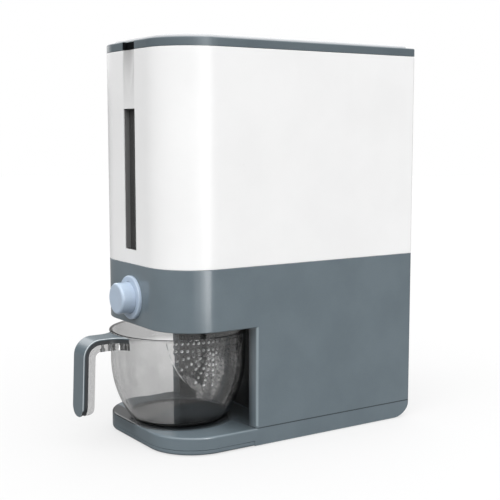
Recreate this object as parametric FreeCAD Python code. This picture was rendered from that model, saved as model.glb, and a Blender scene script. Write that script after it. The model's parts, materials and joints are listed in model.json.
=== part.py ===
import FreeCAD, Part
import math
import os

os.makedirs("parts", exist_ok=True)

# Rice dispenser: a white reservoir with a hinged lid stands on a grey base. The base has an
# open bay at its front, where a clear measuring cup slides in under the outlet. Pushing the
# round button slides a slotted gate under the hopper, and rice falls into the cup.
# Millimetres. +Z is up, the front faces -Y, and the origin is on the ground, under the
# middle of the whole length from the cup's handle to the lid's hinge.

# Body
body_width = 164.0
body_length = 283.5
front_corner_radius = 47.0
rear_corner_radius = 5.0
least_corner_radius = 0.8
handle_reach = 57.8           # the cup's handle in front of the body
foot_stand = 1.0              # the feet below the base
tray_height = 16.8
bay_height = 97.2             # tray to ceiling
head_height = 58.0            # ceiling to reservoir
reservoir_height = 200.0
edge_ease = 0.6               # rounding of the moulded rims

# Clearances
sliding_gap = 0.3
seat_gap = 0.1
shaft_gap = 0.08
screw_gap = 0.2
cut_over = 1.0                # cutting blocks reach this far past what they cut

# Walls
base_wall = 3.0
shell_wall = 3.0
liner_wall = 2.5              # bay walls, tray and ceiling

# Bay and cup tray
bay_depth = 89.1              # body front to the bay's rear wall
bay_corner_radius = 2.5
corner_post = 9.0
cup_axis_depth = 50.7         # body front to the cup's axis
pocket_radius = 88.4          # the hollow behind the bay that the cup reaches into
pocket_axis_depth = 33.2
tray_edge_radius = 2.0
head_edge_radius = 1.0
rear_foot_radius = 22.0       # the base's rounded lower rear edge
seam_depth = 87.2             # body front to the end of the cover's visible rim
seam_gap = 0.4

# Spigot between base and reservoir
spigot_wall = 1.8
spigot_height = 5.0
spigot_root = 6.0
spigot_gap = 0.2
snap_length = 14.0
snap_height = 1.5
snap_lift = 2.0
snap_depth = 0.8
snap_count = 3                # on each side
snap_front_margin = 80.7
snap_rear_margin = 40.0

# Screws
screw_recess_share = 0.35     # driver recess's radius to the head's
screw_end_gap = 1.5

# Bottom cover, its screws and the feet
cover_plate = 2.5
cover_rim = 4.5
cover_pad_radius = 5.5
boss_radius = 4.2
boss_height = 16.0
cover_screw_shank = 1.5
cover_screw_head = 2.9
cover_screw_head_height = 1.9
cover_screw_length = 9.0
cover_pocket_depth = 2.3
front_screw_x = 44.0
front_screw_depth = 22.0
middle_screw_setback = 30.9   # bay's rear wall to the middle screws
rear_screw_margin = 48.5      # rear face to the rear screws
boss_lap = 0.5                # side bosses into the wall
cover_rear_margin = 36.0      # rear face to the cover's rear edge
foot_radius = 8.0
foot_seat = 1.5
foot_x = 56.0
front_foot_depth = 40.0
rear_foot_margin = 53.5       # rear face to the rear feet

# Window
window_width = 22.8
window_height = 132.4
window_lift = 13.6            # reservoir's lower edge to the window
window_gap = 0.15
window_setback = 0.8
window_side_margin = 8.0
window_end_margin = 4.5
window_recess = 5.4           # body front to the pane
window_rim = 0.9              # side walls of the window's recess
window_plate = 1.8
gasket_thickness = 0.8
stake_radius = 1.4
stake_head_radius = 2.6
stake_head_height = 1.0
stake_rows = 4

# Lid and finger notch
lid_gap = 0.3
lid_band_height = 7.7
lid_band_ease = 1.2
panel_inset = 7.2
panel_depth = 2.6
panel_stand = 3.0
panel_edge_radius = 2.2
panel_gap = 0.25
lid_floor = 2.0
plug_gap = 1.2
plug_wall = 2.4
plug_depth = 10.0
seal_height = 3.0
seal_drop = 4.0               # lid's underside to the top of the seal
seal_bite = 1.0               # depth of the seal's groove
notch_width = 24.0
notch_depth = 5.2
grip_thickness = 1.4
grip_setback = 0.4            # body front to the pad's side walls
scoop_depth = 1.9
scoop_height = 40.0

# Hinge
hinge_axis_stand = 5.0        # rear face to the hinge axis
knuckle_radius = 4.5
knuckle_width = 6.0
knuckle_drop = 12.0
knuckle_web = 3.1             # hinge axis to the web's rear corner, back and down
lug_width = 11.0
lug_height = 6.5
hinge_spacing = 74.0
hinge_pin_radius = 1.5
knuckle_bore_gap = 0.02

# Hopper
outlet_width = 30.0           # across X
outlet_length = 9.0           # along Y
outlet_depth = 63.7           # body front to the middle of the outlet
hopper_wall = 4.0             # measured straight down
spout_wall = 2.5
spout_height = 2.8
rear_slope_angle = 25.0
side_slope_angle = 42.0
front_slope_angle = 52.0
shelf_slope_angle = 33.0
shelf_start = 23.5            # the front slope's run before the shelf over the button
skirt_wall = 2.2
skirt_drop = 4.0

# Gate, its guide and the chute into the cup
ceiling_pad = 2.5
guide_floor = 1.0
guide_side = 8.0
guide_overrun = 3.0           # guide beyond the gate's tail when the button is in
gate_thickness = 2.4
gate_play = 0.15
gate_width = 40.0
gate_slot_spare = 0.25
gate_tail = 8.0
gate_arm_width = 18.0
gate_arm_thickness = 3.0
gate_arm_clearance = 0.7      # pressed-in arm to the guide
gate_arm_rise = 4.7           # button axis to the arm's top
gate_rib = 3.0
gate_rib_height = 12.0
chute_margin = 1.5
chute_wall = 2.5
chute_drop = 5.0
gate_screw_shank = 1.3
gate_screw_head = 2.5
gate_screw_head_height = 1.6
gate_screw_spacing = 18.0
gate_screw_bite = 3.0
gate_screw_cover = 1.0        # hopper's ear above the screw's end
gate_screw_pocket = 1.9

# Button
button_rise = 25.7            # ceiling to the button's axis
button_travel = 11.0
button_radius = 15.0
button_stand = 16.9           # cap in front of the body at rest
button_wall = 2.5
button_skirt = 5.0            # cap inside the body's front face
button_edge_radius = 2.4
button_boss_radius = 6.5
button_boss_length = 7.0
bezel_flange_radius = 21.0
bezel_flange = 3.0
bezel_edge_radius = 1.3
bezel_wall = 2.2
bezel_web = 2.0
bezel_overrun = 1.5
nut_thickness = 4.0
nut_rim = 3.0
nut_gap = 0.05
nut_notches = 6
nut_notch_width = 4.0
nut_notch_depth = 1.2
stem_radius = 4.5
clip_thickness = 1.2
clip_radius = 7.5
clip_gap = 0.3
clip_bite = 0.6
clip_mouth = 5.4
arm_standoff = 3.0            # clip to the gate's arm
stem_screw_shank = 1.5
stem_screw_head = 2.9
stem_screw_head_height = 2.0
stem_screw_length = 11.0
spring_radius = 7.6           # wire centre line
spring_wire = 0.7
spring_turns = 6.5

# Cup
cup_rim_height = 88.7
cup_rim_radius = 66.9
cup_shoulder_height = 64.2
cup_shoulder_radius = 66.0
cup_belly_height = 27.2
cup_belly_radius = 60.4
cup_heel_height = 4.6
cup_heel_radius = 49.2
cup_foot_radius = 43.0
cup_wall = 2.2
cup_floor = 2.8
cup_rim_bead = 0.6            # beyond the rim's radius, and half the bead's height
cup_bead_ease = 0.5
cup_heel_turn = 35.0          # degrees that the heel's arc turns
cup_heel_lift = 0.3           # rise of the inner heel per millimetre of wall
strainer_drop = 10.5          # rim to the middle of the hole pattern
strainer_rings = 7
strainer_first_ring = 5.0
strainer_pitch = 4.9
strainer_step = 15.0          # degrees between the lines of holes
strainer_first_stride = 3     # the inner rings leave out lines
strainer_hole_radius = 1.0
strainer_rim_drop = 3.4
strainer_rim_pitch = 4.9
strainer_rim_holes = 15
strainer_field_rise = 15.6     # rim to the centre of the field's oval
strainer_field_reach = 43.1    # half the oval's width
strainer_field_depth = 69.4    # half its height
strainer_field_step = 0.5
strainer_field_drop = 2.75    # rim to the field's flat top

# Cup handle
handle_width = 22.4
handle_top_drop = 0.5         # rim to the top of the arm
handle_root_lap = 6.0
handle_flare_reach = 9.0       # each side of the arm widens by this where it meets the cup
handle_flare_length = 15.0
handle_thickness = 12.0
strap_plate = 1.8
strap_width = 23.0
strap_edge_radius = 0.7
strap_rib_width = 21.4
strap_rib_depth = 3.6
strap_lap = 0.5               # the strap's rib starts inside its plate
handle_bend_radius = 17.0
handle_grip_height = 15.1     # tray to the lower end of the grip
handle_lean = 2.4             # outward lean of the grip at its lower end
grip_end_radius = 10.5        # rounded corners of the grip's lower end
core_tip_lift = 8.0           # the clear core's rounded lower edge
core_tip_bulge = 0.2          # of that edge's chord
handle_screw_shank = 1.2
handle_screw_head = 2.3
handle_screw_head_height = 1.5
handle_screw_spacing = 8.0
handle_screw_setback = 9.0

# Places worked out from the sizes
overall_length = handle_reach + body_length + hinge_axis_stand + knuckle_radius
front_y = handle_reach - overall_length / 2
rear_y = front_y + body_length
half_width = body_width / 2
base_z = foot_stand
tray_z = base_z + tray_height
ceiling_z = tray_z + bay_height
joint_z = ceiling_z + head_height
shell_top_z = joint_z + reservoir_height
lid_z = shell_top_z + lid_gap
band_top_z = lid_z + lid_band_height
panel_floor_z = band_top_z - panel_depth
panel_top_z = band_top_z + panel_stand
bay_rear_y = front_y + bay_depth
cup_y = front_y + cup_axis_depth
pocket_y = front_y + pocket_axis_depth
outlet_y = front_y + outlet_depth
spigot_inset = shell_wall + spigot_gap
spigot_inner_inset = spigot_inset + spigot_wall
spigot_top_z = joint_z + spigot_height
ceiling_top_z = ceiling_z + liner_wall + ceiling_pad
guide_floor_z = ceiling_top_z + guide_floor
gate_low_z = guide_floor_z + gate_play
gate_high_z = gate_low_z + gate_thickness
spout_z = gate_high_z + gate_play
hopper_floor_z = spout_z + spout_height
button_z = ceiling_z + button_rise
sleeve_radius = button_radius + sliding_gap
sleeve_outer_radius = sleeve_radius + bezel_wall
web_front_y = front_y + button_skirt + button_travel + bezel_overrun
web_rear_y = web_front_y + bezel_web
clip_y = web_rear_y + clip_gap
gate_front_y = clip_y + clip_thickness + arm_standoff
guide_front_y = gate_front_y + gate_arm_thickness + gate_rib + button_travel + gate_arm_clearance
guide_rear_y = outlet_y + gate_tail + button_travel + guide_overrun
button_face_y = front_y - button_stand
hinge_y = rear_y + hinge_axis_stand
cup_z = tray_z + seat_gap
rim_z = tray_z + cup_rim_height
plug_inset = shell_wall + plug_gap
strap_thickness = strap_plate + strap_rib_depth

up = FreeCAD.Vector(0, 0, 1)
inward = FreeCAD.Vector(0, 1, 0)
sideways = FreeCAD.Vector(1, 0, 0)


def point(x, y, z):
    return FreeCAD.Vector(x, y, z)


def box(x_low, x_high, y_low, y_high, z_low, z_high):
    corner = point(x_low, y_low, z_low)
    return Part.makeBox(x_high - x_low, y_high - y_low, z_high - z_low, corner)


def rod(radius, start, direction, length):
    return Part.makeCylinder(radius, length, start, direction)


def tube(outer_radius, inner_radius, start, direction, length):
    return rod(outer_radius, start, direction, length).cut(rod(inner_radius, start, direction, length))


# A cutting rod from outside a face to a depth below it.
def sink(radius, start, direction, depth):
    return rod(radius, start - direction * cut_over, direction, depth + cut_over)


# A cutting rod that reaches past both ends.
def drill(radius, start, direction, length):
    return sink(radius, start, direction, length + cut_over)


# A block standing on Z with its own corner radius at the front and at the rear.
def rounded_block(x_low, x_high, y_low, y_high, front_radius, rear_radius, z_low, z_high):
    corners = [
        (x_high - rear_radius, y_high - rear_radius, rear_radius, 0),
        (x_low + rear_radius, y_high - rear_radius, rear_radius, 90),
        (x_low + front_radius, y_low + front_radius, front_radius, 180),
        (x_high - front_radius, y_low + front_radius, front_radius, 270),
    ]
    arcs = []
    for x, y, radius, start in corners:
        on_arc = []
        for turn in (0, 45, 90):
            angle = math.radians(start + turn)
            on_arc.append(point(x + radius * math.cos(angle), y + radius * math.sin(angle), z_low))
        arcs.append(on_arc)
    edges = []
    for index, arc in enumerate(arcs):
        edges.append(Part.Arc(*arc).toShape())
        following = arcs[(index + 1) % len(arcs)]
        edges.append(Part.LineSegment(arc[2], following[0]).toShape())
    return Part.Face(Part.Wire(edges)).extrude(point(0, 0, z_high - z_low))


# The body's plan, moved in from the outer faces by an inset.
def plan(inset, z_low, z_high):
    front_radius = max(front_corner_radius - inset, least_corner_radius)
    rear_radius = max(rear_corner_radius - inset, least_corner_radius)
    half = half_width - inset
    return rounded_block(-half, half, front_y + inset, rear_y - inset,
                         front_radius, rear_radius, z_low, z_high)


def ring(outer_inset, inner_inset, z_low, z_high):
    return plan(outer_inset, z_low, z_high).cut(plan(inner_inset, z_low, z_high))


# Rounds every edge that lies wholly in one level plane.
def ease_level(solid, z, radius):
    level = []
    for edge in solid.Edges:
        bounds = edge.BoundBox
        if abs(bounds.ZMin - z) < 1e-4 and abs(bounds.ZMax - z) < 1e-4:
            level.append(edge)
    return solid.makeFillet(radius, level)


def both_sides(places):
    return [(side * x, y) for x, y in places for side in (-1, 1)]


# Pan-head screw: the head's outer face is at the start, and the shank runs along the direction.
def pan_screw(start, direction, head_radius, head_height, shank_radius, length):
    head = rod(head_radius, start, direction, head_height)
    shank = rod(shank_radius, start + direction * head_height, direction, length)
    recess = rod(head_radius * screw_recess_share, start, direction, head_height / 2)
    return head.fuse(shank).cut(recess)


# ---------------------------------------------------------------- reservoir
def stake_places():
    x = window_width / 2 + window_side_margin / 2
    bottom = joint_z + window_lift
    pitch = window_height / stake_rows
    return [(side * x, bottom + pitch * (row + 0.5)) for row in range(stake_rows) for side in (-1, 1)]


def window_plate_block(front, rear, grow_x, grow_z):
    half = window_width / 2 + grow_x
    bottom = joint_z + window_lift - grow_z
    top = joint_z + window_lift + window_height + grow_z
    return box(-half, half, front, rear, bottom, top)


# Shallow trough below the lid's notch that lets a fingertip under the lid.
def finger_scoop():
    radius = (notch_width ** 2 / 4 + scoop_depth ** 2) / (2 * scoop_depth)
    along = point(0, -scoop_depth, -scoop_height)
    along.normalize()
    start = point(0, front_y + scoop_depth - radius, shell_top_z) - along * scoop_height / 2
    return rod(radius, start, along, scoop_height * 2)


def snap_places():
    pitch = (body_length - snap_front_margin - snap_rear_margin) / (snap_count - 1)
    return [front_y + snap_front_margin + pitch * index for index in range(snap_count)]


def hinge_places():
    return [-hinge_spacing / 2, hinge_spacing / 2]


def knuckle_starts(hinge_x):
    inner = lug_width / 2 + sliding_gap
    return [hinge_x - inner - knuckle_width, hinge_x + inner]


def knuckle(x_start):
    barrel = rod(knuckle_radius, point(x_start, hinge_y, lid_z), sideways, knuckle_width)
    profile = Part.makePolygon([
        point(x_start, rear_y - shell_wall / 2, lid_z - lid_gap),
        point(x_start, hinge_y, lid_z - lid_gap),
        point(x_start, hinge_y + knuckle_web, lid_z - knuckle_web),
        point(x_start, rear_y - shell_wall / 2, lid_z - knuckle_drop),
        point(x_start, rear_y - shell_wall / 2, lid_z - lid_gap),
    ])
    return barrel.fuse(Part.Face(profile).extrude(point(knuckle_width, 0, 0)))


def reservoir_shell():
    outer = ease_level(plan(0, joint_z, shell_top_z), shell_top_z, edge_ease)
    outer = ease_level(outer, joint_z, edge_ease)
    shell = outer.cut(plan(shell_wall, joint_z - cut_over, shell_top_z + cut_over))
    additions = []
    for x, z in stake_places():
        foot = point(x, front_y + shell_wall / 2, z)
        length = shell_wall / 2 + gasket_thickness + window_plate
        additions.append(rod(stake_radius, foot, inward, length))
        additions.append(rod(stake_head_radius, foot + inward * length, inward, stake_head_height))
    for y in snap_places():
        for side in (-1, 1):
            face_x = side * (half_width - shell_wall / 2)
            tip_x = side * (half_width - shell_wall - snap_depth)
            low, high = sorted((face_x, tip_x))
            additions.append(box(low, high, y - snap_length / 2, y + snap_length / 2,
                                 joint_z + snap_lift, joint_z + snap_lift + snap_height))
    for hinge_x in hinge_places():
        for x_start in knuckle_starts(hinge_x):
            additions.append(knuckle(x_start))
    shell = shell.fuse(additions)
    bores = []
    for hinge_x in hinge_places():
        start = point(hinge_x - hinge_pin_half(), hinge_y, lid_z)
        bores.append(rod(hinge_pin_radius + knuckle_bore_gap, start, sideways, 2 * hinge_pin_half()))
    slot = window_plate_block(front_y - cut_over, front_y + shell_wall + cut_over, 0, 0)
    return shell.cut(bores + [slot, finger_scoop()]).removeSplitter()


# Clear pane at the bottom of a recess, with a flange behind the wall.
def view_window():
    flange_front = front_y + shell_wall + gasket_thickness
    pane_front = front_y + window_recess
    boss = window_plate_block(front_y + window_setback, pane_front + window_plate,
                              -window_gap, -window_gap)
    flange = window_plate_block(flange_front, flange_front + window_plate,
                                window_side_margin, window_end_margin)
    cuts = [window_plate_block(front_y, pane_front, -window_gap - window_rim, -window_gap - window_rim)]
    for x, z in stake_places():
        cuts.append(drill(stake_radius + screw_gap, point(x, flange_front, z), inward, window_plate))
    return boss.fuse(flange).cut(cuts).removeSplitter()


def window_gasket():
    front = front_y + shell_wall
    rear = front + gasket_thickness
    outer = window_plate_block(front, rear, window_side_margin, window_end_margin)
    opening = window_plate_block(front - cut_over, rear + cut_over, sliding_gap, sliding_gap)
    holes = [opening]
    for x, z in stake_places():
        holes.append(drill(stake_radius + screw_gap, point(x, front, z), inward, gasket_thickness))
    return outer.cut(holes)


# ---------------------------------------------------------------- lid
def lid_lug(hinge_x):
    low = hinge_x - lug_width / 2
    barrel = rod(knuckle_radius, point(low, hinge_y, lid_z), sideways, lug_width)
    arm = box(low, low + lug_width, rear_y - panel_inset / 2, hinge_y, lid_z, lid_z + lug_height)
    below = box(low - cut_over, low + lug_width + cut_over, rear_y - panel_inset, rear_y + sliding_gap,
                lid_z - knuckle_radius - cut_over, lid_z)
    return barrel.cut(below).fuse(arm)


def lid_frame():
    band = ease_level(plan(0, lid_z, band_top_z), band_top_z, lid_band_ease)
    plug = plan(plug_inset, lid_z - plug_depth, lid_z + lid_floor)
    frame = band.fuse([plug] + [lid_lug(x) for x in hinge_places()])
    hollow_top_z = panel_floor_z - lid_floor
    cuts = [
        plan(panel_inset, panel_floor_z, band_top_z + cut_over),
        plan(plug_inset + plug_wall, lid_z - plug_depth - cut_over, hollow_top_z),
        box(-notch_width / 2, notch_width / 2, front_y - cut_over, front_y + notch_depth,
            lid_z, band_top_z + cut_over),
        ring(plug_inset - seal_bite, plug_inset + seal_bite,
             lid_z - seal_drop - seal_height, lid_z - seal_drop),
    ]
    for hinge_x in hinge_places():
        start = point(hinge_x - lug_width, hinge_y, lid_z)
        cuts.append(rod(hinge_pin_radius + shaft_gap, start, sideways, 2 * lug_width))
    return frame.cut(cuts).removeSplitter()


def lid_panel():
    panel = plan(panel_inset + panel_gap, panel_floor_z, panel_top_z)
    return ease_level(panel, panel_top_z, panel_edge_radius)


# Dark rubber pad that lines the back and the sides of the notch.
def lid_grip():
    half = notch_width / 2 - seat_gap
    front = front_y + grip_setback
    rear = front_y + notch_depth
    top = band_top_z - lid_band_ease / 2
    pad = box(-half, half, front, rear, lid_z, top)
    room = box(grip_thickness - half, half - grip_thickness, front - cut_over, rear - grip_thickness,
               lid_z - cut_over, top + cut_over)
    return pad.cut(room)


def lid_seal():
    return ring(shell_wall + sliding_gap, plug_inset + seal_bite - seat_gap,
                lid_z - seal_drop - seal_height, lid_z - seal_drop)


def hinge_pin_half():
    return lug_width / 2 + sliding_gap + knuckle_width


def hinge_pins():
    pins = []
    for hinge_x in hinge_places():
        start = point(hinge_x - hinge_pin_half(), hinge_y, lid_z)
        pins.append(rod(hinge_pin_radius, start, sideways, 2 * hinge_pin_half()))
    return Part.makeCompound(pins)


# ---------------------------------------------------------------- base
# The lower rear edge of the base, rounded to a radius with its axis along X.
def rear_foot_waste(radius):
    axis_y = rear_y - rear_foot_radius
    axis_z = base_z + rear_foot_radius
    reach = half_width + cut_over
    corner = box(-reach, reach, axis_y, rear_y + cut_over, base_z - cut_over, axis_z)
    return corner.cut(rod(radius, point(-reach, axis_y, axis_z), sideways, 2 * reach))


def bay_liner():
    liner = box(-half_width - cut_over, half_width + cut_over, front_y - cut_over, bay_rear_y + liner_wall,
                tray_z - liner_wall, ceiling_z + liner_wall)
    pocket = rod(pocket_radius + liner_wall, point(0, pocket_y, tray_z - liner_wall), up,
                 bay_height + 2 * liner_wall)
    return liner.fuse(pocket)


def base_outside():
    tray = ease_level(plan(0, base_z, tray_z), tray_z, tray_edge_radius)
    head = ease_level(plan(0, ceiling_z, joint_z), ceiling_z, head_edge_radius)
    head = ease_level(head, joint_z, edge_ease)
    overlap = tray_edge_radius + head_edge_radius
    column = plan(0, tray_z - overlap, ceiling_z + overlap)
    column = column.common(box(-body_width, body_width, bay_rear_y, rear_y + cut_over, base_z, joint_z))
    edges = []
    for edge in column.Edges:
        bounds = edge.BoundBox
        on_bay = abs(bounds.YMin - bay_rear_y) < 1e-4 and abs(bounds.YMax - bay_rear_y) < 1e-4
        if on_bay and bounds.ZLength > bay_height:
            edges.append(edge)
    column = column.makeFillet(bay_corner_radius, edges)
    return tray.fuse([head, column]).cut(rear_foot_waste(rear_foot_radius)).removeSplitter()


def cover_screw_places():
    side_x = half_width - base_wall - boss_radius + boss_lap
    return both_sides([
        (front_screw_x, front_y + front_screw_depth),
        (side_x, bay_rear_y + middle_screw_setback),
        (side_x, rear_y - rear_screw_margin),
    ])


def base_inside():
    hollow = plan(base_wall, base_z - cut_over, joint_z + cut_over)
    hollow = hollow.cut(rear_foot_waste(rear_foot_radius - base_wall))
    floor_y = rear_y - cover_rear_margin
    rear_floor = box(-half_width, half_width, floor_y, rear_y, base_z - cut_over, base_z + base_wall)
    posts = []
    for side in (-1, 1):
        inner = side * (half_width - corner_post)
        low, high = sorted((side * half_width, inner))
        posts.append(box(low, high, bay_rear_y, bay_rear_y + corner_post, tray_z - liner_wall,
                         ceiling_z + liner_wall))
    pad_half = gate_width / 2 + guide_side
    pad = box(-pad_half, pad_half, guide_front_y, guide_rear_y, ceiling_z, ceiling_top_z)
    return hollow.cut([bay_liner(), rear_floor, pad] + posts)


def base_bosses():
    bosses = []
    for x, y in cover_screw_places():
        top = base_z + cover_rim + boss_height
        if y < bay_rear_y:
            top = tray_z - liner_wall / 2
        foot = point(x, y, base_z + cover_rim)
        bosses.append(rod(boss_radius, foot, up, top - foot.z))
    return bosses


def screw_holes_in_base():
    holes = []
    for x, y in cover_screw_places():
        depth = cover_screw_length + screw_end_gap - (cover_rim - cover_pocket_depth)
        if y < bay_rear_y:
            depth = min(depth, tray_z - liner_wall / 2 - base_z - cover_rim)
        holes.append(sink(cover_screw_shank + seat_gap, point(x, y, base_z + cover_rim), up, depth))
    return holes


def chute_box(grow, z_low, z_high):
    half_x = outlet_width / 2 + chute_margin + grow
    half_y = outlet_length / 2 + chute_margin + grow
    return box(-half_x, half_x, outlet_y - half_y, outlet_y + half_y, z_low, z_high)


def gate_screw_places():
    x = gate_width / 2 + guide_side / 2
    y = gate_screw_spacing / 2
    return both_sides([(x, outlet_y - y), (x, outlet_y + y)])


def base_housing():
    housing = base_outside().cut(base_inside())
    collar = ring(base_wall / 2, spigot_inner_inset, joint_z - spigot_root, joint_z)
    spigot = ring(spigot_inset, spigot_inner_inset, joint_z - spigot_root, spigot_top_z)
    chute = chute_box(chute_wall, ceiling_z - chute_drop, ceiling_z + liner_wall)
    housing = housing.fuse([collar, spigot, chute] + base_bosses())
    pocket = rod(pocket_radius, point(0, pocket_y, tray_z), up, bay_height)
    bay_front = box(-body_width, body_width, front_y - cut_over, cup_y, tray_z, ceiling_z)
    pocket_cut = pocket.cut(bay_front)
    pocket_cut = pocket_cut.cut(chute_box(chute_wall, ceiling_z - chute_drop, ceiling_z + cut_over))
    seam_y = front_y + seam_depth
    cover_room = plan(-cut_over, base_z - cut_over, base_z + cover_rim + seam_gap)
    cover_room = cover_room.common(box(-body_width, body_width, front_y - body_length, seam_y,
                                       -body_length, joint_z))
    cover_room = cover_room.cut([rod(boss_radius, point(x, y, base_z + cover_rim), up, boss_height)
                                 for x, y in cover_screw_places()])
    button_hole = drill(sleeve_outer_radius + screw_gap, point(0, front_y, button_z), inward, base_wall)
    chute_hole = chute_box(0, ceiling_z - chute_drop - cut_over, ceiling_top_z + cut_over)
    cuts = [pocket_cut, cover_room, button_hole, chute_hole]
    for y in snap_places():
        half = snap_length / 2 + sliding_gap
        low = joint_z + snap_lift - sliding_gap
        high = joint_z + snap_lift + snap_height + sliding_gap
        cuts.append(box(-half_width, half_width, y - half, y + half, low, high))
    for x, y in gate_screw_places():
        foot = point(x, y, ceiling_z)
        cuts.append(drill(gate_screw_shank + screw_gap, foot, up, ceiling_top_z - ceiling_z))
        cuts.append(sink(gate_screw_head + screw_gap, foot, up, gate_screw_pocket))
    return housing.cut(cuts + screw_holes_in_base()).removeSplitter()


def bottom_cover():
    seam_y = front_y + seam_depth
    front_zone = box(-body_width, body_width, front_y - body_length, seam_y - seam_gap,
                     -body_length, joint_z)
    skin = ease_level(plan(0, base_z, base_z + cover_rim), base_z, tray_edge_radius)
    rim = skin.cut(plan(base_wall, base_z + cover_plate, base_z + cover_rim + cut_over)).common(front_zone)
    rear_edge_y = rear_y - cover_rear_margin - seam_gap
    tongue = plan(base_wall + sliding_gap, base_z, base_z + cover_plate)
    tongue_zone = box(-body_width, body_width, seam_y - corner_post, rear_edge_y, base_z - cut_over, joint_z)
    tongue = tongue.common(tongue_zone)
    pads = [rod(cover_pad_radius, point(x, y, base_z), up, cover_rim) for x, y in cover_screw_places()]
    pads = [pad.common(plan(base_wall + sliding_gap, base_z, base_z + cover_rim)) for pad in pads]
    cover = rim.fuse([tongue] + pads)
    cuts = []
    for x, y in cover_screw_places():
        cuts.append(drill(cover_screw_shank + screw_gap, point(x, y, base_z), up, cover_rim))
        cuts.append(sink(cover_screw_head + screw_gap, point(x, y, base_z), up, cover_pocket_depth))
    for x, y in foot_places():
        cuts.append(sink(foot_radius + seat_gap, point(x, y, base_z), up, foot_seat))
    return cover.cut(cuts).removeSplitter()


def cover_screws():
    screws = []
    for x, y in cover_screw_places():
        start = point(x, y, base_z + cover_pocket_depth - cover_screw_head_height)
        length = cover_screw_length
        if y < bay_rear_y:
            length = min(length, tray_z - liner_wall - start.z - cover_screw_head_height)
        screws.append(pan_screw(start, up, cover_screw_head, cover_screw_head_height,
                                cover_screw_shank, length))
    return Part.makeCompound(screws)


def foot_places():
    return both_sides([
        (foot_x, front_y + front_foot_depth),
        (foot_x, rear_y - rear_foot_margin),
    ])


def feet():
    pads = []
    for x, y in foot_places():
        pad = rod(foot_radius, point(x, y, 0), up, foot_stand + foot_seat)
        pads.append(ease_level(pad, 0, foot_stand / 2))
    return Part.makeCompound(pads)


# ---------------------------------------------------------------- hopper and gate
def slope_wedge(points, along, length):
    wire = Part.makePolygon(points + [points[0]])
    return Part.Face(wire).extrude(along * length)


# Everything under the four sloping floors, lowered by a drop.
def under_slopes(drop):
    floor = hopper_floor_z - drop
    reach = body_length + body_width
    low = base_z
    front_edge = outlet_y - outlet_length / 2
    rear_edge = outlet_y + outlet_length / 2
    side_edge = outlet_width / 2
    rise = {name: math.tan(math.radians(angle)) for name, angle in
            (("rear", rear_slope_angle), ("side", side_slope_angle),
             ("front", front_slope_angle), ("shelf", shelf_slope_angle))}
    left = -reach / 2
    shelf_z = floor + shelf_start * rise["front"]
    shelf_run = reach - shelf_start
    rear = slope_wedge([
        point(left, rear_edge, low),
        point(left, rear_edge, floor),
        point(left, rear_edge + reach, floor + reach * rise["rear"]),
        point(left, rear_edge + reach, low),
    ], sideways, reach)
    front = slope_wedge([
        point(left, front_edge, low),
        point(left, front_edge, floor),
        point(left, front_edge - shelf_start, shelf_z),
        point(left, front_edge - reach, shelf_z + shelf_run * rise["shelf"]),
        point(left, front_edge - reach, low),
    ], sideways, reach)
    sides = []
    start_y = outlet_y - reach
    for side in (-1, 1):
        near = side * side_edge
        far = side * (side_edge + reach)
        sides.append(slope_wedge([
            point(near, start_y, low),
            point(near, start_y, floor),
            point(far, start_y, floor + reach * rise["side"]),
            point(far, start_y, low),
        ], inward, 2 * reach))
    return rear.fuse([front] + sides)


def hopper():
    upper_inset = shell_wall + sliding_gap
    lower_inset = spigot_inner_inset + sliding_gap
    top = shell_top_z - plug_depth
    slopes = under_slopes(0)
    room = plan(upper_inset, spigot_top_z, top).fuse(plan(lower_inset, spout_z, spigot_top_z))
    floors = slopes.cut(under_slopes(hopper_wall)).common(room)
    skirt = ring(upper_inset, lower_inset + skirt_wall, spigot_top_z, top)
    skirt = skirt.fuse(ring(lower_inset, lower_inset + skirt_wall, joint_z - skirt_drop, spigot_top_z))
    skirt = skirt.common(slopes)
    half_x = outlet_width / 2 + spout_wall
    half_y = outlet_length / 2 + spout_wall
    spout = box(-half_x, half_x, outlet_y - half_y, outlet_y + half_y, spout_z, hopper_floor_z)
    ears = []
    reach = gate_screw_spacing / 2 + guide_side / 2
    ear_top_z = spout_z + gate_screw_bite + gate_screw_cover
    for side in (-1, 1):
        low, high = sorted((side * half_x, side * (gate_width / 2 + guide_side)))
        ears.append(box(low, high, outlet_y - reach, outlet_y + reach, spout_z, ear_top_z))
    body = floors.fuse([skirt, spout] + ears)
    neck = box(-outlet_width / 2, outlet_width / 2, outlet_y - outlet_length / 2,
               outlet_y + outlet_length / 2, spout_z - cut_over, hopper_floor_z + hopper_wall)
    cuts = [neck]
    for x, y in gate_screw_places():
        cuts.append(sink(gate_screw_shank, point(x, y, spout_z), up, gate_screw_bite))
    return body.cut(cuts).removeSplitter()


def gate_guide():
    half = gate_width / 2 + guide_side
    channel = gate_width / 2 + sliding_gap
    block = box(-half, half, guide_front_y, guide_rear_y, ceiling_top_z, spout_z)
    room = box(-channel, channel, guide_front_y - cut_over, guide_rear_y + cut_over,
               guide_floor_z, spout_z + cut_over)
    cuts = [room, chute_box(0, ceiling_top_z - cut_over, guide_floor_z + cut_over)]
    for x, y in gate_screw_places():
        cuts.append(drill(gate_screw_shank + screw_gap, point(x, y, ceiling_top_z), up,
                          spout_z - ceiling_top_z))
    return block.cut(cuts)


def gate_screws():
    screws = []
    for x, y in gate_screw_places():
        start = point(x, y, ceiling_z + gate_screw_pocket - gate_screw_head_height)
        length = spout_z + gate_screw_bite - start.z - gate_screw_head_height
        screws.append(pan_screw(start, up, gate_screw_head, gate_screw_head_height,
                                gate_screw_shank - seat_gap, length))
    return Part.makeCompound(screws)


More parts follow.
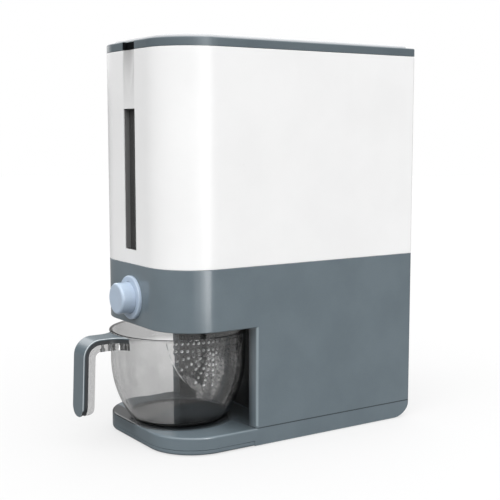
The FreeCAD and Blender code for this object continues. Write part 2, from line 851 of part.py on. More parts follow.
# At rest the slot stands in front of the outlet, one button travel away.
def gate_slide():
    half = gate_width / 2
    plate = box(-half, half, gate_front_y, outlet_y + gate_tail, gate_low_z, gate_high_z)
    arm_half = gate_arm_width / 2
    arm = box(-arm_half, arm_half, gate_front_y, gate_front_y + gate_arm_thickness,
              gate_low_z, button_z + gate_arm_rise)
    ribs = []
    for side in (-1, 1):
        outer = side * arm_half
        low, high = sorted((outer, outer - side * gate_rib))
        profile = [
            point(low, gate_front_y + gate_arm_thickness, gate_high_z),
            point(low, gate_front_y + gate_arm_thickness + gate_rib, gate_high_z),
            point(low, gate_front_y + gate_arm_thickness, gate_high_z + gate_rib_height),
        ]
        ribs.append(slope_wedge(profile, sideways, high - low))
    slot_half_x = outlet_width / 2 + gate_slot_spare
    slot_half_y = outlet_length / 2 + gate_slot_spare
    slot_y = outlet_y - button_travel
    slot = box(-slot_half_x, slot_half_x, slot_y - slot_half_y, slot_y + slot_half_y,
               gate_low_z - cut_over, gate_high_z + cut_over)
    screw_hole = drill(stem_screw_shank + screw_gap, point(0, gate_front_y, button_z), inward,
                       gate_arm_thickness)
    return plate.fuse([arm] + ribs).cut([slot, screw_hole]).removeSplitter()


# ---------------------------------------------------------------- button
def button_cap():
    axis = point(0, button_face_y, button_z)
    length = button_stand + button_skirt
    cap = rod(button_radius, axis, inward, length)
    front_edge = [e for e in cap.Edges if abs(e.BoundBox.YMax - button_face_y) < 1e-4]
    cap = cap.makeFillet(button_edge_radius, front_edge)
    inside = rod(button_radius - button_wall, axis + inward * button_wall, inward, length)
    boss = rod(button_boss_radius, axis + inward * button_wall, inward, button_boss_length)
    bore = rod(stem_radius + seat_gap / 2, axis + inward * button_wall, inward, length)
    return cap.cut(inside).fuse(boss).cut(bore)


def button_stem():
    start = point(0, button_face_y + button_wall, button_z)
    stem = rod(stem_radius, start, inward, gate_front_y - start.y)
    groove = tube(stem_radius + cut_over, stem_radius - clip_bite, point(0, clip_y, button_z), inward,
                  clip_thickness)
    tapping = rod(stem_screw_shank, point(0, gate_front_y - stem_screw_length, button_z), inward,
                  stem_screw_length + cut_over)
    return stem.cut([groove, tapping])


def stem_clip():
    ring_solid = tube(clip_radius, stem_radius - clip_bite, point(0, clip_y, button_z), inward,
                      clip_thickness)
    mouth = box(-clip_mouth / 2, clip_mouth / 2, clip_y - cut_over, clip_y + clip_thickness + cut_over,
                button_z - clip_radius - cut_over, button_z)
    return ring_solid.cut(mouth)


def stem_screw():
    start = point(0, gate_front_y + gate_arm_thickness + stem_screw_head_height, button_z)
    return pan_screw(start, inward * -1, stem_screw_head, stem_screw_head_height,
                     stem_screw_shank - seat_gap, gate_arm_thickness + stem_screw_length - screw_end_gap)


def button_bezel():
    flange_front = front_y - bezel_flange
    flange = rod(bezel_flange_radius, point(0, flange_front, button_z), inward, bezel_flange)
    edge = [e for e in flange.Edges if abs(e.BoundBox.YMax - flange_front) < 1e-4]
    flange = flange.makeFillet(bezel_edge_radius, edge)
    sleeve = rod(sleeve_outer_radius, point(0, flange_front, button_z), inward, web_rear_y - flange_front)
    bore = sink(sleeve_radius, point(0, flange_front, button_z), inward, web_front_y - flange_front)
    stem_bore = drill(stem_radius + shaft_gap, point(0, web_front_y, button_z), inward, bezel_web)
    return flange.fuse(sleeve).cut([bore, stem_bore]).removeSplitter()


def bezel_nut():
    start = point(0, front_y + base_wall, button_z)
    inner = sleeve_outer_radius + nut_gap
    nut = tube(inner + nut_rim, inner, start, inward, nut_thickness)
    notches = []
    for index in range(nut_notches):
        notch = box(-nut_notch_width / 2, nut_notch_width / 2,
                    start.y - cut_over, start.y + nut_thickness + cut_over,
                    button_z + inner + nut_rim - nut_notch_depth, button_z + inner + nut_rim + cut_over)
        notch.rotate(point(0, 0, button_z), inward, 360 / nut_notches * index)
        notches.append(notch)
    return nut.cut(notches)


# Each half turn is a tilted half ring. Neighbours meet where the wire runs straight up or down.
def return_spring():
    rear = web_front_y - spring_wire - seat_gap
    front = button_face_y + button_wall + spring_wire + seat_gap
    halves = int(2 * spring_turns)
    step = (rear - front) / halves
    coil = []
    for index in range(halves):
        centre = point(0, front + step * (index + 0.5), button_z)
        turn = (-1) ** index
        arm = point(turn * spring_radius, -step / 2, 0)
        wire = Part.Face(Part.Wire(Part.Circle(centre + arm, up, spring_wire).toShape()))
        coil.append(wire.revolve(centre, arm.cross(up * turn), 180))
    return coil[0].fuse(coil[1:])


# ---------------------------------------------------------------- cup
# Half section of the bowl, from its foot to its rim, moved inwards by an inset.
def cup_profile(inset, low_z, high_z):
    heel = point(cup_heel_radius - inset, 0, cup_z + cup_heel_height + inset * cup_heel_lift)
    belly = point(cup_belly_radius - inset, 0, cup_z + cup_belly_height)
    shoulder = point(cup_shoulder_radius - inset, 0, cup_z + cup_shoulder_height)
    rim = point(cup_rim_radius - inset, 0, rim_z)
    foot = point(cup_foot_radius - inset, 0, low_z)
    corner_turn = math.radians(cup_heel_turn)
    corner = (foot + heel) / 2
    outward = point(heel.z - foot.z, 0, -(heel.x - foot.x)).normalize()
    corner = corner + outward * (heel - foot).Length / 2 * math.tan(corner_turn / 2)
    top = point(rim.x, 0, high_z)
    edges = [
        Part.LineSegment(point(0, 0, low_z), foot).toShape(),
        Part.Arc(foot, corner, heel).toShape(),
        Part.Arc(heel, belly, shoulder).toShape(),
        Part.LineSegment(shoulder, rim).toShape(),
    ]
    if high_z > rim_z:
        edges.append(Part.LineSegment(rim, top).toShape())
    edges.append(Part.LineSegment(top, point(0, 0, high_z)).toShape())
    edges.append(Part.LineSegment(point(0, 0, high_z), point(0, 0, low_z)).toShape())
    bowl = Part.Face(Part.Wire(edges)).revolve(point(0, 0, 0), up, 360)
    bowl.translate(point(0, cup_y, 0))
    return bowl


def strainer_holes():
    middle_z = rim_z - strainer_drop
    places = [(0.0, 0.0)]
    for index in range(strainer_rings):
        radius = strainer_first_ring + strainer_pitch * index
        stride = max(strainer_first_stride - index, 1)
        lines = int(180 / strainer_step / stride) + 1
        for line in range(lines):
            angle = math.radians(strainer_step * stride * line)
            places.append((radius * math.cos(angle), -radius * math.sin(angle)))
    for index in range(strainer_rim_holes):
        offset = (index - (strainer_rim_holes - 1) / 2) * strainer_rim_pitch
        places.append((offset, strainer_drop - strainer_rim_drop))
    return [rod(strainer_hole_radius, point(0, cup_y + along, middle_z + rise), sideways, body_width)
            for along, rise in places]


def strainer_field():
    centre = point(0, cup_y, rim_z + strainer_field_rise)
    outline = Part.Ellipse(centre + up * strainer_field_depth, centre - inward * strainer_field_reach, centre)
    return Part.Face(Part.Wire(outline.toShape())).extrude(sideways * body_width)


def measuring_cup():
    outside = cup_profile(0, cup_z, rim_z)
    bead = rod(cup_rim_radius + cup_rim_bead, point(0, cup_y, rim_z - 2 * cup_rim_bead), up,
               2 * cup_rim_bead)
    bead = bead.makeFillet(cup_bead_ease, bead.Edges[0:1] + bead.Edges[2:3])
    inside = cup_profile(cup_wall, cup_z + cup_floor, rim_z + cut_over)
    cup = outside.fuse(bead).cut(inside)
    recess = outside.cut(cup_profile(strainer_field_step, cup_z - cut_over, rim_z)).common(strainer_field())
    recess = recess.cut(box(-body_width, body_width, cup_y - body_width, cup_y + body_width,
                            rim_z - strainer_field_drop, rim_z + cut_over))
    return cup.cut([recess] + strainer_holes())


# Front view of the handle down to its rounded end, moved inwards by an inset.
def grip_outline(inset):
    half = strap_width / 2 - inset
    low_z = tray_z + handle_grip_height + inset
    outline = rounded_block(-half, half, low_z, rim_z + cut_over, grip_end_radius - inset,
                            least_corner_radius, 0, body_length)
    outline.rotate(point(0, 0, 0), sideways, 90)
    outline.translate(point(0, cup_y, 0))
    return outline


# A bar of the handle between two depths below its outer face: an arm that leaves the cup, a
# bend, and a grip that leans outwards. Its inner lower edge is rounded up to a lift.
def handle_bar(outer_depth, inner_depth, root_y, inset, tip_lift):
    top_z = rim_z - handle_top_drop
    grip_y = front_y - handle_reach + handle_lean
    low_z = tray_z + handle_grip_height
    down = point(0, -handle_lean, low_z - (top_z - handle_bend_radius)).normalize()
    outward = point(0, down.z, -down.y)
    centre = point(0, grip_y + handle_bend_radius, top_z - handle_bend_radius)
    grip_length = math.hypot(centre.z - low_z, handle_lean) + cut_over

    def line_points(depth):
        radius = handle_bend_radius - depth
        arm_start = point(0, root_y, top_z - depth)
        bend_top = point(0, centre.y, top_z - depth)
        bend_side = centre + outward * radius
        middle = centre + (up + outward).normalize() * radius
        return arm_start, bend_top, middle, bend_side

    first = line_points(outer_depth)
    second = line_points(inner_depth)
    outer_end = first[3] + down * grip_length
    inner_end = second[3] + down * (grip_length - tip_lift)
    chord = inner_end - outer_end
    tip = (outer_end + inner_end) / 2 + point(0, chord.z, -chord.y) * core_tip_bulge
    edges = [
        Part.LineSegment(first[0], first[1]).toShape(),
        Part.Arc(first[1], first[2], first[3]).toShape(),
        Part.LineSegment(first[3], outer_end).toShape(),
        Part.Arc(outer_end, tip, inner_end).toShape(),
        Part.LineSegment(inner_end, second[3]).toShape(),
        Part.Arc(second[3], second[2], second[1]).toShape(),
        Part.LineSegment(second[1], second[0]).toShape(),
        Part.LineSegment(second[0], first[0]).toShape(),
    ]
    face = Part.Face(Part.Wire(edges))
    face.translate(point(-strap_width, 0, 0))
    plan = grip_outline(inset).fuse(root_flare(inset))
    return face.extrude(point(2 * strap_width, 0, 0)).common(plan).removeSplitter()


def root_flare(inset):
    half = strap_width / 2 - inset
    wide = half + handle_flare_reach
    end_y = cup_y - math.sqrt((cup_rim_radius + cup_rim_bead) ** 2 - wide ** 2)
    start_y = end_y - handle_flare_length
    radius = (handle_flare_length ** 2 + handle_flare_reach ** 2) / (2 * handle_flare_reach)
    turn = math.asin(handle_flare_length / radius) / 2
    middle = half + radius * (1 - math.cos(turn))
    middle_y = start_y + radius * math.sin(turn)
    low_z = rim_z - handle_top_drop - handle_thickness - cut_over
    inner_y = end_y + handle_root_lap
    edges = [
        Part.Arc(point(-half, start_y, low_z), point(-middle, middle_y, low_z),
                 point(-wide, end_y, low_z)).toShape(),
        Part.LineSegment(point(-wide, end_y, low_z), point(-wide, inner_y, low_z)).toShape(),
        Part.LineSegment(point(-wide, inner_y, low_z), point(wide, inner_y, low_z)).toShape(),
        Part.LineSegment(point(wide, inner_y, low_z), point(wide, end_y, low_z)).toShape(),
        Part.Arc(point(wide, end_y, low_z), point(middle, middle_y, low_z),
                 point(half, start_y, low_z)).toShape(),
        Part.LineSegment(point(half, start_y, low_z), point(-half, start_y, low_z)).toShape(),
    ]
    return Part.Face(Part.Wire(edges)).extrude(up * (handle_thickness + 2 * cut_over))


def handle_root_y():
    return cup_y - cup_shoulder_radius


def handle_screw_places():
    first = cup_y - cup_rim_radius - handle_screw_setback
    return [first, first - handle_screw_spacing]


def handle_core():
    core = handle_bar(strap_thickness, handle_thickness, handle_root_y() + handle_root_lap,
                      (strap_width - handle_width) / 2, core_tip_lift)
    cuts = [cup_profile(0, cup_z, rim_z)]
    low = rim_z - handle_top_drop - handle_thickness
    for y in handle_screw_places():
        cuts.append(drill(handle_screw_shank + screw_gap, point(0, y, low), up, handle_thickness))
        cuts.append(sink(handle_screw_head + screw_gap, point(0, y, low), up, handle_screw_head_height))
    return core.cut(cuts)


def handle_strap():
    plate = handle_bar(0, strap_plate, handle_root_y() + handle_root_lap, 0, 0)
    sides = []
    for edge in plate.Edges:
        bounds = edge.BoundBox
        straight = bounds.XLength < 1e-4 and max(bounds.YLength, bounds.ZLength) > handle_root_lap
        flared = bounds.ZLength < 1e-4 and 1e-4 < bounds.XLength <= handle_flare_reach + 1e-4
        if straight or flared and bounds.YLength > handle_flare_length / 2:
            sides.append(edge)
    plate = plate.makeFillet(strap_edge_radius, sides)
    rib = handle_bar(strap_plate - strap_lap, strap_thickness, handle_root_y() + handle_root_lap,
                     (strap_width - strap_rib_width) / 2, 0)
    outside = cup_profile(0, cup_z, rim_z)
    bead_low_z = rim_z - 2 * cup_rim_bead - sliding_gap
    bead = rod(cup_rim_radius + cup_rim_bead + sliding_gap, point(0, cup_y, bead_low_z), up,
               rim_z + cut_over - bead_low_z)
    cuts = [outside, bead]
    for y in handle_screw_places():
        start = point(0, y, rim_z - handle_top_drop - handle_thickness)
        cuts.append(rod(handle_screw_shank, start, up, handle_thickness - strap_thickness / 2))
    return plate.fuse(rib).cut(cuts).removeSplitter()


def handle_screws():
    screws = []
    for y in handle_screw_places():
        start = point(0, y, rim_z - handle_top_drop - handle_thickness)
        length = handle_thickness - strap_thickness / 2 - handle_screw_head_height - seat_gap
        screws.append(pan_screw(start, up, handle_screw_head, handle_screw_head_height,
                                handle_screw_shank - seat_gap, length))
    return Part.makeCompound(screws)


nodes = {
    "reservoir_shell": reservoir_shell,
    "view_window": view_window,
    "window_gasket": window_gasket,
    "lid_frame": lid_frame,
    "lid_panel": lid_panel,
    "lid_grip": lid_grip,
    "lid_seal": lid_seal,
    "hinge_pins": hinge_pins,
    "base_housing": base_housing,
    "bottom_cover": bottom_cover,
    "cover_screws": cover_screws,
    "feet": feet,
    "hopper": hopper,
    "gate_guide": gate_guide,
    "gate_screws": gate_screws,
    "gate_slide": gate_slide,
    "button_cap": button_cap,
    "button_stem": button_stem,
    "stem_clip": stem_clip,
    "stem_screw": stem_screw,
    "button_bezel": button_bezel,
    "bezel_nut": bezel_nut,
    "return_spring": return_spring,
    "measuring_cup": measuring_cup,
    "handle_core": handle_core,
    "handle_strap": handle_strap,
    "handle_screws": handle_screws,
}

for name, build in nodes.items():
    shape = build()
    shape.exportStep("parts/" + name + ".step")
    bounds = shape.BoundBox
    print(name, "solids", len(shape.Solids), "valid", shape.isValid(), "volume", round(shape.Volume),
          "x", round(bounds.XMin, 1), round(bounds.XMax, 1), "y", round(bounds.YMin, 1),
          round(bounds.YMax, 1), "z", round(bounds.ZMin, 1), round(bounds.ZMax, 1))
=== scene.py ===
import bpy
import json
import math
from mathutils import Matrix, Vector
from mathutils.bvhtree import BVHTree

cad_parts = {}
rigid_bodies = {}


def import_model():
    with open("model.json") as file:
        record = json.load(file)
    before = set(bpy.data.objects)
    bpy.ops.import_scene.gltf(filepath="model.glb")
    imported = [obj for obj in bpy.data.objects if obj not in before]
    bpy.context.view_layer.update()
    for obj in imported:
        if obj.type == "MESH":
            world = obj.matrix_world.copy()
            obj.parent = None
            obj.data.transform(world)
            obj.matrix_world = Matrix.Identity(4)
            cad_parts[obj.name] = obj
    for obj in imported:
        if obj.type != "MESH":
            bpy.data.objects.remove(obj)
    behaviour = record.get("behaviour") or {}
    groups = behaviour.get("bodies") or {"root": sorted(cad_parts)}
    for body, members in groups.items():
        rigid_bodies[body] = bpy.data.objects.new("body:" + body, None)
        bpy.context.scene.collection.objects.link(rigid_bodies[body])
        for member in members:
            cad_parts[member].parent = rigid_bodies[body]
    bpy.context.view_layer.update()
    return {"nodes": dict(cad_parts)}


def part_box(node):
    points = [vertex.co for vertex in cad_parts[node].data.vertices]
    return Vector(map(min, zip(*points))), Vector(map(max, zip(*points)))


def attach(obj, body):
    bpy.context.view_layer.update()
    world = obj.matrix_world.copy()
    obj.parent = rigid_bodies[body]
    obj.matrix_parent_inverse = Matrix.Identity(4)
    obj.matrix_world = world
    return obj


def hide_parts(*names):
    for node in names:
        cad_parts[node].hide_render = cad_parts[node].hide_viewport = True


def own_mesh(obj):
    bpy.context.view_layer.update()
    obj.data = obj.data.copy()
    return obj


for leftover in list(bpy.data.objects):
    bpy.data.objects.remove(leftover)

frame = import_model()
nodes = frame["nodes"]
scene = bpy.context.scene
scene.view_settings.view_transform = "Standard"
print("rice dispenser: frame loaded,", len(nodes), "nodes")


# An sRGB hex colour as linear RGBA.
def toLinear(hexText):
    parts = [int(hexText[i:i + 2], 16) / 255 for i in (0, 2, 4)]
    return [p / 12.92 if p <= 0.04045 else ((p + 0.055) / 1.055) ** 2.4 for p in parts] + [1.0]


def perMetre(millimetres):
    return 1000.0 / millimetres  # a texture scale whose features are about this wide


def addNode(tree, kind, settings=None, sockets=None):
    node = tree.nodes.new("ShaderNode" + kind)
    for name, value in (settings or {}).items():
        setattr(node, name, value)
    for name, value in (sockets or {}).items():
        socket = node.inputs[name]
        if isinstance(value, bpy.types.NodeSocket):
            tree.links.new(value, socket)
        else:
            socket.default_value = value
    return node


def newMaterial(name):
    material = bpy.data.materials.new(name)
    material.use_nodes = True
    material.node_tree.nodes.clear()
    return material, material.node_tree


def dress(material, *names):
    for name in names:
        piece = nodes[name]
        piece.data.materials.clear()
        piece.data.materials.append(material)


# A surface's tone, which drifts with a noise level from one tone to the other between two stops.
def driftingTone(tree, level, stops, tones):
    drift = addNode(tree, "ValToRGB", None, {"Fac": level})
    for element, stop, hexText in zip(drift.color_ramp.elements, stops, tones):
        element.position = stop
        element.color = toLinear(hexText)
    return drift.outputs["Color"]


# What all moulded surfaces share; each look gives its own widths, tones and strengths.
mouldedFinish = {
    "driftDetail": 3.0, "driftRoughness": 0.5,
    "driftStops": (0.36, 0.64),  # noise levels of the dark and the light tone
    "speckDetail": 2.0, "speckRoughness": 0.6,
    "noiseReach": (0.3, 0.7),    # where nearly all of a noise pattern lies
    "grainRise": 0.125,          # height of the grain beside its width
    "waveHeight": 0.0004,        # slow waves of a moulded face, in metres
}


# Colour drift, speckle, roughness drift and grain.
def mouldedSurface(tree, look, finish):
    low, high = finish["noiseReach"]
    place = addNode(tree, "TexCoord").outputs["Object"]
    drift = addNode(tree, "TexNoise", None, {
        "Vector": place, "Scale": perMetre(look["driftWidth"]), "Detail": finish["driftDetail"],
        "Roughness": finish["driftRoughness"]})
    tone = driftingTone(tree, drift.outputs["Fac"], finish["driftStops"],
                        (look["darkTone"], look["lightTone"]))
    speck = addNode(tree, "TexNoise", None, {
        "Vector": place, "Scale": perMetre(look["grainWidth"]), "Detail": finish["speckDetail"],
        "Roughness": finish["speckRoughness"]})
    speckRange = addNode(tree, "MapRange", None, {
        "Value": speck.outputs["Fac"], "From Min": low, "From Max": high,
        "To Min": 1.0 - look["speck"], "To Max": 1.0 + look["speck"]})
    colour = addNode(tree, "VectorMath", {"operation": "SCALE"}, {
        0: tone, "Scale": speckRange.outputs["Result"]})
    rough = addNode(tree, "MapRange", None, {
        "Value": drift.outputs["Fac"], "From Min": low, "From Max": high,
        "To Min": look["roughness"] - look["roughDrift"],
        "To Max": look["roughness"] + look["roughDrift"]})
    grain = addNode(tree, "Bump", None, {
        "Strength": look["grainStrength"], "Distance": look["grainWidth"] / 1000 * finish["grainRise"],
        "Height": speck.outputs["Fac"]})
    wave = addNode(tree, "Bump", None, {
        "Strength": look["waveStrength"], "Distance": finish["waveHeight"],
        "Height": drift.outputs["Fac"], "Normal": grain.outputs["Normal"]})
    return colour.outputs["Vector"], rough.outputs["Result"], wave.outputs["Normal"]


def mouldedPlastic(name, look, shade=None):
    material, tree = newMaterial(name)
    colour, rough, normal = mouldedSurface(tree, look, mouldedFinish)
    if shade:
        colour = shade(tree, look, colour)
    shader = addNode(tree, "BsdfPrincipled", None, {
        "Base Color": colour, "Roughness": rough, "IOR": look["ior"], "Normal": normal,
        "Specular IOR Level": look.get("specular", 0.5)})
    addNode(tree, "OutputMaterial", None, {"Surface": shader.outputs["BSDF"]})
    return material


# X, Y and Z of where a point of the part lies (Object, in metres) or faces (Normal).
def splitCoordinate(tree, name):
    split = addNode(tree, "SeparateXYZ", None, {"Vector": addNode(tree, "TexCoord").outputs[name]})
    return split.outputs


# How far a point lies, or faces, to either side.
def eitherSide(tree, measure):
    return addNode(tree, "Math", {"operation": "ABSOLUTE"}, {0: measure}).outputs["Value"]


# A zone of a part: 1 inside and 0 outside. A limit is a measure, then "above" or "below" and the
# place, or "eased" and the two places that it fades between, with its levels there if not 0 and 1.
def zone(tree, *limits):
    share = None
    for limit in limits:
        edge = limit  # another zone
        if isinstance(limit, tuple) and limit[1] == "eased":
            measure, way, start, end, *levels = limit
            low, high = levels or (0.0, 1.0)
            edge = addNode(tree, "MapRange", {"interpolation_type": "SMOOTHSTEP"}, {
                "Value": measure, "From Min": start, "From Max": end,
                "To Min": low, "To Max": high}).outputs["Result"]
        elif isinstance(limit, tuple):
            measure, way, place = limit
            test = "GREATER_THAN" if way == "above" else "LESS_THAN"
            edge = addNode(tree, "Math", {"operation": test}, {0: measure, 1: place}).outputs["Value"]
        share = edge if share is None else addNode(
            tree, "Math", {"operation": "MULTIPLY"}, {0: share, 1: edge}).outputs["Value"]
    return share


# Where zones overlap, the strongest counts.
def joinZones(tree, share, *others):
    for other in others:
        share = addNode(tree, "Math", {"operation": "MAXIMUM"}, {0: share, 1: other}).outputs["Value"]
    return share


# Lays tones over a colour, one after another, each in its own zone.
def layTones(tree, colour, *layers):
    for share, hexText in layers:
        colour = addNode(tree, "Mix", {"data_type": "RGBA"}, {
            0: share, 6: colour, 7: toLinear(hexText)}).outputs[2]
    return colour


# The place is in metres, the turns in degrees and the lens in millimetres.
cameraView = {
    "place": (0.85949, -0.54951, 0.29714),
    "tilt": 83.37,
    "turn": 56.57,
    "lens": 72.97,
    "sensor": 36.0,
    "clipStart": 0.05,
}


def placeCamera(view):
    data = bpy.data.cameras.new("studioCamera")
    data.lens = view["lens"]
    data.sensor_width = view["sensor"]
    data.sensor_fit = "HORIZONTAL"
    data.clip_start = view["clipStart"]
    camera = bpy.data.objects.new("studioCamera", data)
    camera.location = view["place"]
    camera.rotation_euler = (math.radians(view["tilt"]), 0, math.radians(view["turn"]))
    scene.collection.objects.link(camera)
    scene.camera = camera


# Bearings are in degrees from +X towards +Y, and sizes are in metres.
studio = {
    "skyTone": "ffffff",
    "skyBase": 1.906,
    "keyBearing": -50.0,      # the brighter side of the sky
    "keyGain": 1.894,
    "keyEdges": (-0.02, 0.58),
    "shadeBearing": -124.0,   # the flagged side
    "shadeDrop": 1.428,
    "shadeEdges": (-0.32, 1.28),
    "horizonLevel": 0.12,     # the sky is dimmer at the horizon, as under a large overhead softbox
    "fullHeight": 0.85,       # sine of the elevation where it is fully bright
    "floorTone": "7c7c7c",
    "floorGlow": 0.66,        # keeps the open floor white, under the object's soft shadow
    "floorMirrorGlow": 0.02,  # what glossy faces mirror from the floor
    "floorRadius": 6.0,
    "floorSides": 96,
    "shineAim": (0.07, -0.08),  # the front right corner, which the soft boxes surround
}
# Soft boxes that only show as reflections: bearings, heights, distance and brightness. Those for
# glass alone show inside the clear cup.
shineBoxes = {
    "cornerWide": {"span": (-27, 13), "heights": (0.01, 0.9), "distance": 0.6, "level": 1.2},
    "cornerMiddle": {"span": (-12, 13), "heights": (0.01, 0.9), "distance": 0.6, "level": 2.1},
    "cornerNarrow": {"span": (-2, 13), "heights": (0.01, 0.9), "distance": 0.6, "level": 3.3},
    "frontCard": {"span": (-130, -68), "heights": (0.02, 1.3), "distance": 1.5, "level": 2.4,
                  "glassOnly": True},
    "leftCard": {"span": (172, 198), "heights": (0.42, 0.95), "distance": 1.4, "level": 2.0},
}


# How far a direction leans to a bearing, faded between two edges.
def skyLobe(tree, direction, bearing, edges, gain):
    turn = math.radians(bearing)
    lean = addNode(tree, "VectorMath", {"operation": "DOT_PRODUCT"}, {
        0: direction, 1: (math.cos(turn), math.sin(turn), 0.0)})
    lobe = addNode(tree, "MapRange", {"interpolation_type": "SMOOTHSTEP"}, {
        "Value": lean.outputs["Value"], "From Min": edges[0], "From Max": edges[1],
        "To Min": 0.0, "To Max": gain})
    return lobe.outputs["Result"]


def buildSky(look):
    world = bpy.data.worlds.new("studioSky")
    world.use_nodes = True
    scene.world = world
    tree = world.node_tree
    tree.nodes.clear()
    direction = addNode(tree, "TexCoord").outputs["Generated"]
    key = skyLobe(tree, direction, look["keyBearing"], look["keyEdges"], look["keyGain"])
    shade = skyLobe(tree, direction, look["shadeBearing"], look["shadeEdges"], -look["shadeDrop"])
    lifted = addNode(tree, "Math", {"operation": "ADD"}, {0: key, 1: look["skyBase"]})
    around = addNode(tree, "Math", {"operation": "ADD"}, {0: lifted.outputs["Value"], 1: shade})
    height = addNode(tree, "SeparateXYZ", None, {"Vector": direction})
    overhead = addNode(tree, "MapRange", {"interpolation_type": "SMOOTHSTEP"}, {
        "Value": height.outputs["Z"], "From Min": 0.0, "From Max": look["fullHeight"],
        "To Min": look["horizonLevel"], "To Max": 1.0})
    level = addNode(tree, "Math", {"operation": "MULTIPLY"}, {
        0: around.outputs["Value"], 1: overhead.outputs["Result"]})
    white = toLinear(look["skyTone"])
    light = addNode(tree, "Background", None, {"Color": white, "Strength": level.outputs["Value"]})
    backdrop = addNode(tree, "Background", None, {"Color": white, "Strength": 1.0})
    rays = addNode(tree, "LightPath")
    seen = addNode(tree, "Math", {"operation": "MAXIMUM"}, {
        0: rays.outputs["Is Camera Ray"], 1: rays.outputs["Is Transmission Ray"]})
    mix = addNode(tree, "MixShader", None, {
        0: seen.outputs["Value"], 1: light.outputs["Background"], 2: backdrop.outputs["Background"]})
    addNode(tree, "OutputWorld", None, {"Surface": mix.outputs["Shader"]})


def buildFloor(look):
    sides = look["floorSides"]
    ring = [(look["floorRadius"] * math.cos(2 * math.pi * i / sides),
             look["floorRadius"] * math.sin(2 * math.pi * i / sides), 0.0) for i in range(sides)]
    mesh = bpy.data.meshes.new("studioFloor")
    mesh.from_pydata(ring, [], [list(range(sides))])
    floor = bpy.data.objects.new("studioFloor", mesh)
    scene.collection.objects.link(floor)
    material, tree = newMaterial("paintedBoardRolled")  # flat white studio board
    diffuse = addNode(tree, "BsdfDiffuse", None, {"Color": toLinear(look["floorTone"])})
    rays = addNode(tree, "LightPath")
    seen = addNode(tree, "Math", {"operation": "MAXIMUM"}, {
        0: rays.outputs["Is Camera Ray"], 1: rays.outputs["Is Transmission Ray"]})
    plain = addNode(tree, "Math", {"operation": "MULTIPLY"}, {0: seen.outputs["Value"], 1: look["floorGlow"]})
    mirrored = addNode(tree, "Math", {"operation": "MULTIPLY_ADD"}, {
        0: rays.outputs["Is Glossy Ray"], 1: look["floorMirrorGlow"], 2: plain.outputs["Value"]})
    glow = addNode(tree, "Emission", None, {"Strength": mirrored.outputs["Value"]})
    both = addNode(tree, "AddShader", None, {0: diffuse.outputs["BSDF"], 1: glow.outputs["Emission"]})
    addNode(tree, "OutputMaterial", None, {"Surface": both.outputs["Shader"]})
    mesh.materials.append(material)


def addShineBox(name, look, aim):
    first, last = (math.radians(bearing) for bearing in look["span"])
    low, high = look["heights"]
    middle = (first + last) / 2
    data = bpy.data.lights.new(name, "AREA")
    data.shape = "RECTANGLE"
    data.size = 2 * look["distance"] * math.tan((last - first) / 2)
    data.size_y = high - low
    data.energy = look["level"] * math.pi * data.size * data.size_y
    box = bpy.data.objects.new(name, data)
    outward = Vector((math.cos(middle), math.sin(middle), 0.0))
    box.location = Vector((aim[0], aim[1], (low + high) / 2)) + outward * look["distance"]
    box.rotation_euler = (-outward).to_track_quat("-Z", "Y").to_euler()
    scene.collection.objects.link(box)
    box.visible_camera = False
    box.visible_diffuse = False
    box.visible_glossy = not look.get("glassOnly", False)
    box.visible_transmission = look.get("glassOnly", False)


placeCamera(cameraView)
buildSky(studio)
buildFloor(studio)
for boxName, boxLook in shineBoxes.items():
    addShineBox(boxName, boxLook, studio["shineAim"])
print("rice dispenser: camera and light ready")


# ABS, injection moulded and satin: an even white with a soft broad shine.
whiteShell = {
    "darkTone": "f2f2f2", "lightTone": "f5f5f5", "driftWidth": 60.0,
    "grainWidth": 0.9,  # the real grain is 0.1 mm, drawn coarser so that it shows
    "speck": 0.006, "roughness": 0.3, "roughDrift": 0.03,
    "grainStrength": 0.06, "waveStrength": 0.03, "ior": 1.53, "specular": 0.2,
    # the scoop's grey is painted shade under the lid's notch
    "scoopPaintedShade": "b2b2b2", "scoopHeights": (0.293, 0.373), "scoopSides": (0.0125, 0.0095),
    "scoopFront": -0.105,
}


# Painted shade: the finger scoop under the lid's notch is drawn greyer towards its top, for the shade there.
def scoopShade(tree, look, colour):
    place = splitCoordinate(tree, "Object")
    bottom, top = look["scoopHeights"]
    rise = addNode(tree, "MapRange", None, {
        "Value": place["Z"], "From Min": bottom, "From Max": top, "To Min": 0.0, "To Max": 1.0})
    steep = addNode(tree, "Math", {"operation": "POWER"}, {0: rise.outputs["Result"], 1: 2.0})
    scoop = zone(tree, steep.outputs["Value"], (place["Y"], "below", look["scoopFront"]),
                 (eitherSide(tree, place["X"]), "eased", *look["scoopSides"]))
    return layTones(tree, colour, (scoop, look["scoopPaintedShade"]))


# ABS from a polished mould: a pale grey top plate with a clearer shine.
whitePlate = dict(whiteShell, darkTone="bcbec0", lightTone="c0c2c4", roughness=0.24, grainStrength=0.02)
# ABS coloured slate grey, injection moulded with a fine spark-eroded grain: even, satin.
slateGrey = {
    "darkTone": "667279", "lightTone": "6b777e", "driftWidth": 45.0,
    "grainWidth": 0.8,  # the real grain is about 0.1 mm, drawn coarser so that it shows
    "speck": 0.025, "roughness": 0.2, "roughDrift": 0.02,
    "grainStrength": 0.10, "waveStrength": 0.03, "ior": 1.53,
}
